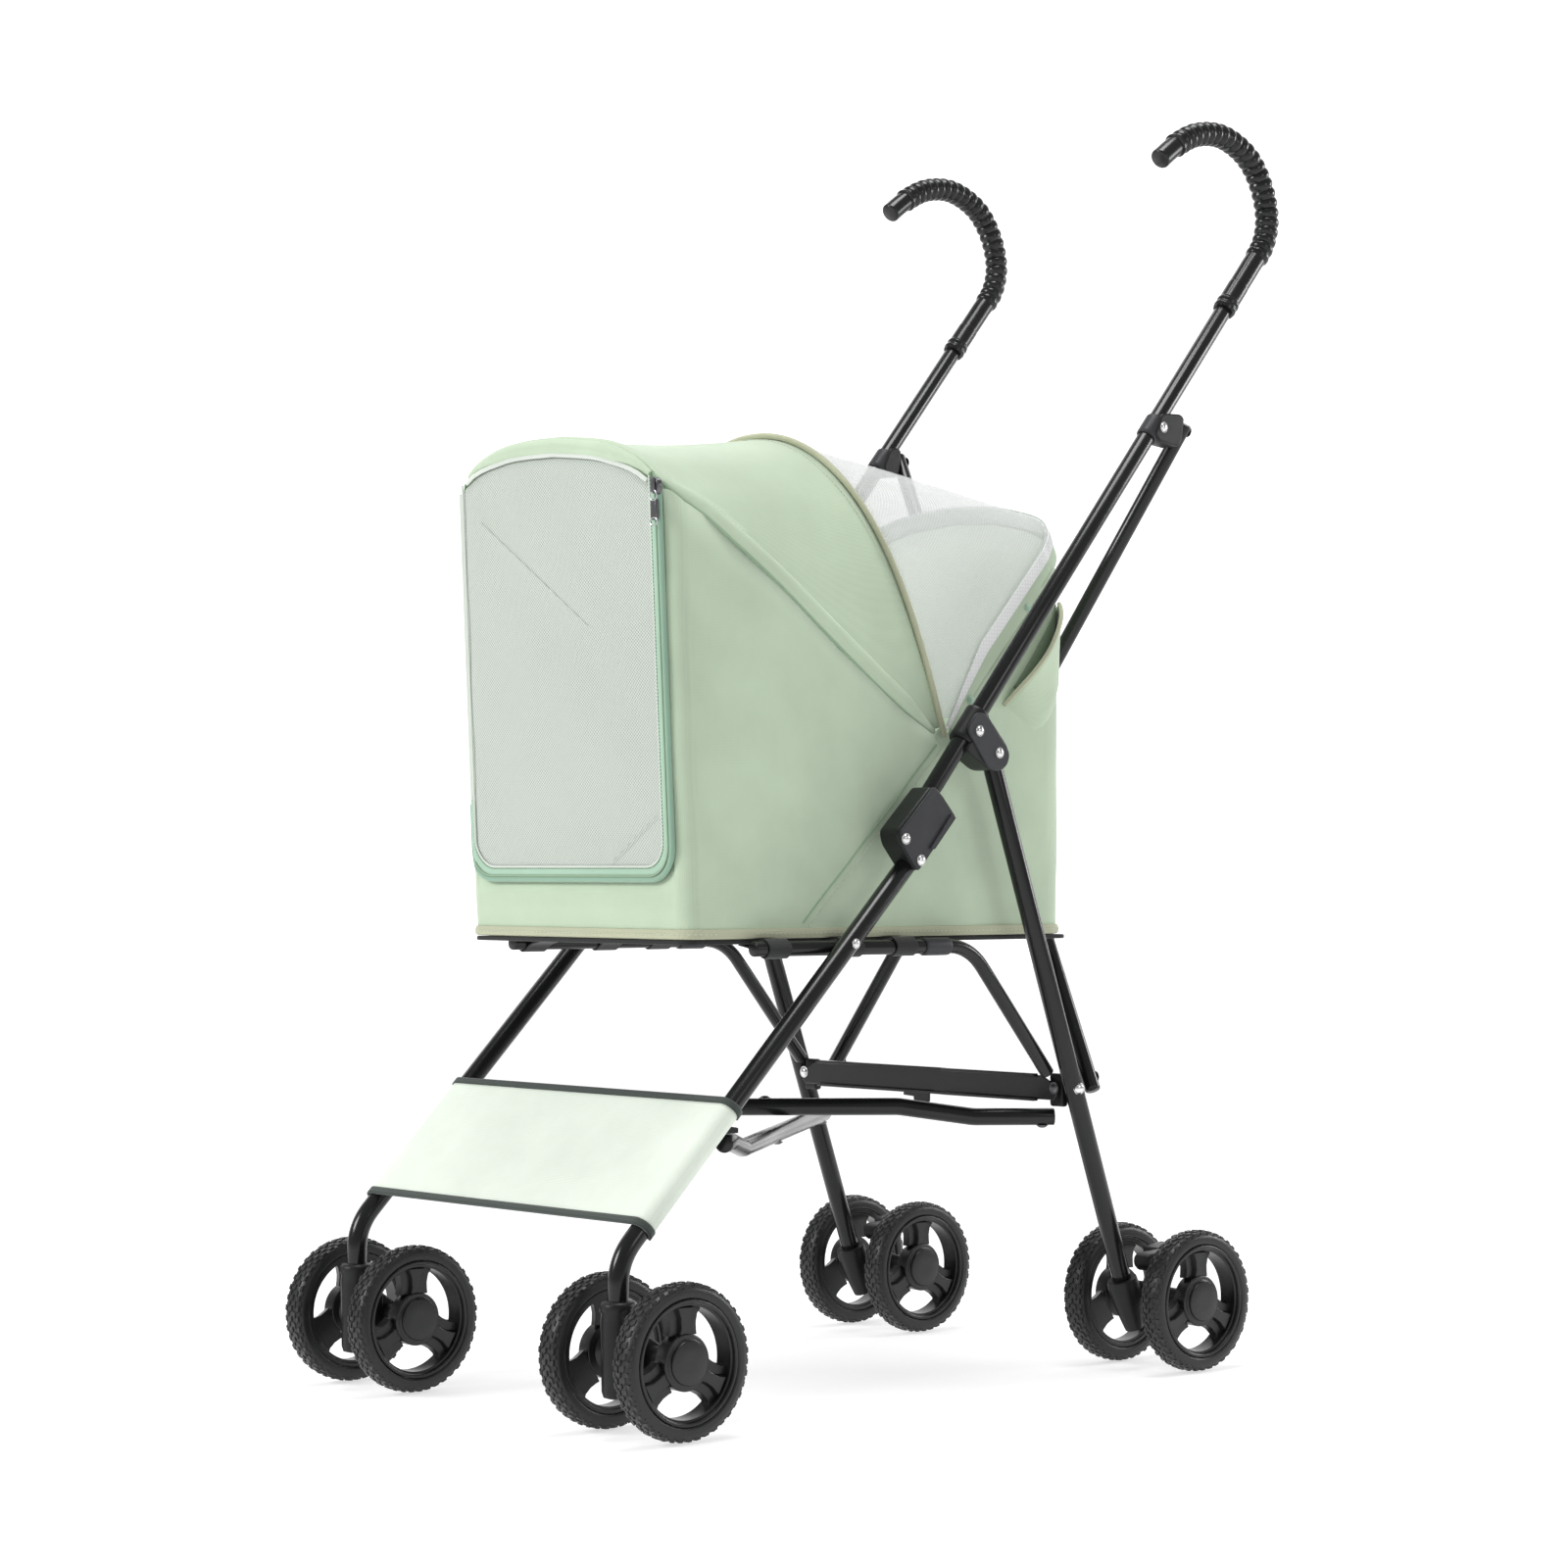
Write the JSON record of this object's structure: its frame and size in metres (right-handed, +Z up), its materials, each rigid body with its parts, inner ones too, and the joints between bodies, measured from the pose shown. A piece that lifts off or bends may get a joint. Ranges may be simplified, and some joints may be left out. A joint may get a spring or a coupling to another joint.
{
  "type": "folding pet stroller",
  "caption": "Folding pet stroller with hooked handles, twin-wheel casters and a fabric cabin with a zipped mesh front door and tilting canopy.",
  "frame": {"origin": "on the floor under the middle of the bounding box", "axes": "+Z up, the cabin door and the casters face -Y, the handles lean back towards +Y, +X is the left-hand side of a pet looking out of the door"},
  "size_m": [0.4352, 0.757, 1.0414],
  "materials": {
    "frame_black": "gloss black enamel on steel tube",
    "bracket_black": "satin black moulded nylon and pressed steel",
    "grip_rubber": "smooth black ribbed grip",
    "wheel_black": "satin black moulded rim",
    "tyre_rubber": "matt black with block tread",
    "axle_steel": "plain steel pin",
    "green_fabric": "pale sage green woven polyester",
    "white_mesh": "white knitted mesh",
    "trim_beige": "beige binding tape over a wire bow",
    "base_fabric": "black canvas",
    "mat_fabric": "soft green padded mat",
    "zip_metal": "gunmetal zip slider"
  },
  "bodies": {
    "right_frame": {"handle_tube_right": "frame_black", "handle_grip_right": "grip_rubber", "upper_bracket_right": "bracket_black", "mid_bracket_right": "bracket_black", "lock_block_right": "bracket_black", "front_leg_right": "frame_black", "rear_leg_right": "frame_black", "rear_housing_right": "bracket_black", "rear_axle_right": "axle_steel", "joint_block_right": "bracket_black", "seat_rail_right": "frame_black", "cabin_tub": "green_fabric", "canopy_hood": "green_fabric", "mesh_top": "white_mesh", "base_sling": "base_fabric", "floor_mat": "mat_fabric", "footrest_sling": "green_fabric"},
    "left_frame": {"handle_tube_left": "frame_black", "handle_grip_left": "grip_rubber", "upper_bracket_left": "bracket_black", "mid_bracket_left": "bracket_black", "lock_block_left": "bracket_black", "front_leg_left": "frame_black", "rear_leg_left": "frame_black", "rear_housing_left": "bracket_black", "rear_axle_left": "axle_steel", "joint_block_left": "bracket_black", "seat_rail_left": "frame_black"},
    "rear_x_bar_right": {"rear_x_bar_right": "frame_black"},
    "lower_x_bar_right": {"lower_x_bar_right": "frame_black"},
    "brace_half_right": {"brace_half_right": "frame_black"},
    "caster_right": {"caster_housing_right": "bracket_black", "front_axle_right": "axle_steel"},
    "wheel_front_right_outer": {"rim_front_right_outer": "wheel_black", "tyre_front_right_outer": "tyre_rubber"},
    "wheel_front_right_inner": {"rim_front_right_inner": "wheel_black", "tyre_front_right_inner": "tyre_rubber"},
    "wheel_rear_right_outer": {"rim_rear_right_outer": "wheel_black", "tyre_rear_right_outer": "tyre_rubber"},
    "wheel_rear_right_inner": {"rim_rear_right_inner": "wheel_black", "tyre_rear_right_inner": "tyre_rubber"},
    "brake_right": {"brake_lever_right": "bracket_black"},
    "rear_x_bar_left": {"rear_x_bar_left": "frame_black"},
    "lower_x_bar_left": {"lower_x_bar_left": "frame_black"},
    "brace_half_left": {"brace_half_left": "frame_black"},
    "caster_left": {"caster_housing_left": "bracket_black", "front_axle_left": "axle_steel"},
    "wheel_front_left_outer": {"rim_front_left_outer": "wheel_black", "tyre_front_left_outer": "tyre_rubber"},
    "wheel_front_left_inner": {"rim_front_left_inner": "wheel_black", "tyre_front_left_inner": "tyre_rubber"},
    "wheel_rear_left_outer": {"rim_rear_left_outer": "wheel_black", "tyre_rear_left_outer": "tyre_rubber"},
    "wheel_rear_left_inner": {"rim_rear_left_inner": "wheel_black", "tyre_rear_left_inner": "tyre_rubber"},
    "brake_left": {"brake_lever_left": "bracket_black"},
    "canopy": {"canopy_bow": "trim_beige"},
    "door": {"front_door": "white_mesh"},
    "zipper": {"zipper_pull": "zip_metal"}
  },
  "joints": [
    {"name": "fold", "type": "slide", "parent": "right_frame", "child": "left_frame", "axis": [1, 0, 0], "range_m": [0, 0.2044], "deforming": ["cabin_tub", "canopy_hood", "mesh_top", "base_sling", "floor_mat", "footrest_sling", "front_door", "canopy_bow", "zipper_pull"]},
    {"name": "rear_x_bar_right_pin", "type": "hinge", "parent": "right_frame", "child": "rear_x_bar_right", "pos_m": [0.1642, 0.2594, 0.7773], "axis": [0.1712, -0.9827, 0.071], "range_deg": [0, 20.26]},
    {"name": "lower_x_bar_right_pin", "type": "hinge", "parent": "right_frame", "child": "lower_x_bar_right", "pos_m": [0.155, -0.2386, 0.2055], "axis": [0, 0, -1], "range_deg": [0, 27.24]},
    {"name": "brace_right_hinge", "type": "hinge", "parent": "right_frame", "child": "brace_half_right", "pos_m": [0.153, 0.1179, 0.2325], "axis": [0, 1, 0], "range_deg": [0, 62.3]},
    {"name": "caster_right_swivel", "type": "hinge", "parent": "right_frame", "child": "caster_right", "pos_m": [0.1642, -0.3451, 0.08], "axis": [0, 0, 1], "continuous": true},
    {"name": "wheel_front_right_outer_spin", "type": "hinge", "parent": "caster_right", "child": "wheel_front_right_outer", "pos_m": [0.2071, -0.3216, 0.0575], "axis": [1, 0, 0], "continuous": true},
    {"name": "wheel_front_right_inner_spin", "type": "hinge", "parent": "caster_right", "child": "wheel_front_right_inner", "pos_m": [0.1213, -0.3216, 0.0575], "axis": [1, 0, 0], "continuous": true},
    {"name": "wheel_rear_right_outer_spin", "type": "hinge", "parent": "right_frame", "child": "wheel_rear_right_outer", "pos_m": [0.2071, 0.2257, 0.0575], "axis": [1, 0, 0], "continuous": true},
    {"name": "wheel_rear_right_inner_spin", "type": "hinge", "parent": "right_frame", "child": "wheel_rear_right_inner", "pos_m": [0.1213, 0.2257, 0.0575], "axis": [1, 0, 0], "continuous": true},
    {"name": "brake_right_tip", "type": "hinge", "parent": "right_frame", "child": "brake_right", "pos_m": [0.1642, 0.2114, 0.088], "axis": [-1, 0, 0], "range_deg": [0, 6]},
    {"name": "rear_x_bar_left_pin", "type": "hinge", "parent": "left_frame", "child": "rear_x_bar_left", "pos_m": [-0.1642, 0.2454, 0.7773], "axis": [0.1712, 0.9827, -0.071], "range_deg": [0, 20.26]},
    {"name": "lower_x_bar_left_pin", "type": "hinge", "parent": "left_frame", "child": "lower_x_bar_left", "pos_m": [-0.155, -0.2386, 0.217], "axis": [0, 0, 1], "range_deg": [0, 27.24]},
    {"name": "brace_left_hinge", "type": "hinge", "parent": "left_frame", "child": "brace_half_left", "pos_m": [-0.153, 0.1204, 0.2325], "axis": [0, -1, 0], "range_deg": [0, 62.3]},
    {"name": "caster_left_swivel", "type": "hinge", "parent": "left_frame", "child": "caster_left", "pos_m": [-0.1642, -0.3451, 0.08], "axis": [0, 0, 1], "continuous": true},
    {"name": "wheel_front_left_outer_spin", "type": "hinge", "parent": "caster_left", "child": "wheel_front_left_outer", "pos_m": [-0.2071, -0.3216, 0.0575], "axis": [1, 0, 0], "continuous": true},
    {"name": "wheel_front_left_inner_spin", "type": "hinge", "parent": "caster_left", "child": "wheel_front_left_inner", "pos_m": [-0.1213, -0.3216, 0.0575], "axis": [1, 0, 0], "continuous": true},
    {"name": "wheel_rear_left_outer_spin", "type": "hinge", "parent": "left_frame", "child": "wheel_rear_left_outer", "pos_m": [-0.2071, 0.2257, 0.0575], "axis": [1, 0, 0], "continuous": true},
    {"name": "wheel_rear_left_inner_spin", "type": "hinge", "parent": "left_frame", "child": "wheel_rear_left_inner", "pos_m": [-0.1213, 0.2257, 0.0575], "axis": [1, 0, 0], "continuous": true},
    {"name": "brake_left_tip", "type": "hinge", "parent": "left_frame", "child": "brake_left", "pos_m": [-0.1642, 0.2114, 0.088], "axis": [-1, 0, 0], "range_deg": [0, 6]},
    {"name": "canopy_tilt", "type": "hinge", "parent": "right_frame", "child": "canopy", "pos_m": [0, 0.0094, 0.515], "axis": [1, 0, 0], "range_deg": [0, 22], "deforming": ["canopy_hood", "mesh_top"]},
    {"name": "door_flap", "type": "hinge", "parent": "right_frame", "child": "door", "pos_m": [0, -0.275, 0.7], "axis": [-1, 0, 0], "range_deg": [0, 105]},
    {"name": "zip_slide", "type": "slide", "parent": "right_frame", "child": "zipper", "axis": [0, 0.0494, -0.9988], "range_m": [0, 0.24]}
  ],
  "couplings": [
    {"joint": "rear_x_bar_right_pin", "follows": "fold", "rad_per_m": 1.7043},
    {"joint": "lower_x_bar_right_pin", "follows": "fold", "rad_per_m": 2.3},
    {"joint": "brace_right_hinge", "follows": "fold", "rad_per_m": 5.2941},
    {"joint": "rear_x_bar_left_pin", "follows": "fold", "rad_per_m": 1.7043},
    {"joint": "lower_x_bar_left_pin", "follows": "fold", "rad_per_m": 2.3},
    {"joint": "brace_left_hinge", "follows": "fold", "rad_per_m": 5.2941}
  ]
}
